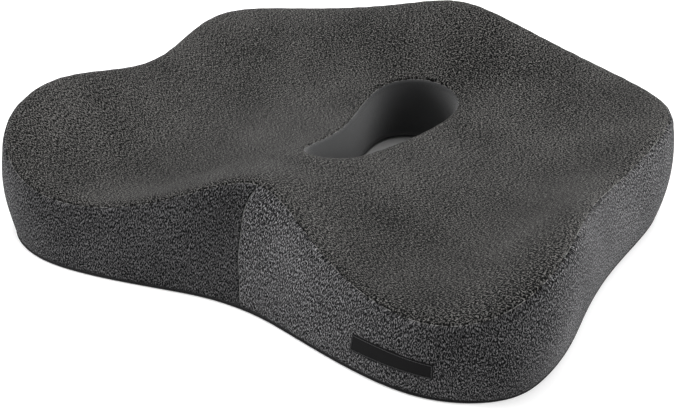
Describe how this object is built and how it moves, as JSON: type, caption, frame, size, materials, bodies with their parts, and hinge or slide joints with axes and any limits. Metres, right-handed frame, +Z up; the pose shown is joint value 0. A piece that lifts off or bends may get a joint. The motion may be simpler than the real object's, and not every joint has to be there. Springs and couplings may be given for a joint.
{
  "type": "seat cushion",
  "caption": "Contoured foam seat cushion with thigh channels, raised front and rear, keyhole relief hole, zipped knitted cover and dotted non-slip base.",
  "frame": {"origin": "centre of the overall outline in plan, on the plane of the grip dots' tips", "axes": "+X to the right of someone seated on it, +Y backwards (the keyhole's wide end), +Z up; the front, where the thighs leave, faces -Y"},
  "size_m": [0.4632, 0.3638, 0.108],
  "materials": {
    "foam": "open-cell viscoelastic polyurethane foam, matt",
    "knit": "melange dark grey knit, matt with a soft bloom",
    "knit_band": "melange dark grey knit with an upright grain, matt",
    "sleeve_cloth": "plain dark lining cloth, matt",
    "base_cloth": "black base cloth, matt",
    "binding": "black woven tape, matt",
    "grip_dot": "moulded grip dots, matt",
    "thread": "dark grey sewing thread",
    "black_thread": "black sewing thread",
    "label": "black satin-woven label, blank",
    "zip_tape": "black woven zip tape",
    "zip_coil": "black nylon coil",
    "zip_metal": "black painted die-cast zinc"
  },
  "bodies": {
    "cushion": {"foam_core": "foam", "cover_top_panel": "knit", "cover_side_band": "knit_band", "cover_hole_sleeve": "sleeve_cloth", "cover_base_panel": "base_cloth", "base_binding": "binding", "grip_dots": "grip_dot", "rim_seam_thread": "thread", "hole_seam_thread": "thread", "base_seam_thread": "black_thread", "front_seam_thread": "thread", "side_label": "label", "label_stitching": "black_thread", "zipper_tape_upper": "zip_tape", "zipper_tape_lower": "zip_tape", "zipper_coil_upper": "zip_coil", "zipper_coil_lower": "zip_coil", "zipper_end_stops": "zip_metal", "zipper_stitching": "thread"},
    "slider": {"zipper_slider": "zip_metal"},
    "pull": {"zipper_pull": "zip_metal"}
  },
  "joints": [
    {"name": "zipper_travel", "type": "hinge", "parent": "cushion", "child": "slider", "pos_m": [0, -0.71965, 0.019], "axis": [0, 0, 1], "range_deg": [0, 14.8]},
    {"name": "pull_swing", "type": "hinge", "parent": "slider", "child": "pull", "pos_m": [0.11629, 0.17573, 0.019], "axis": [0, 0, -1], "range_deg": [0, 180]}
  ]
}
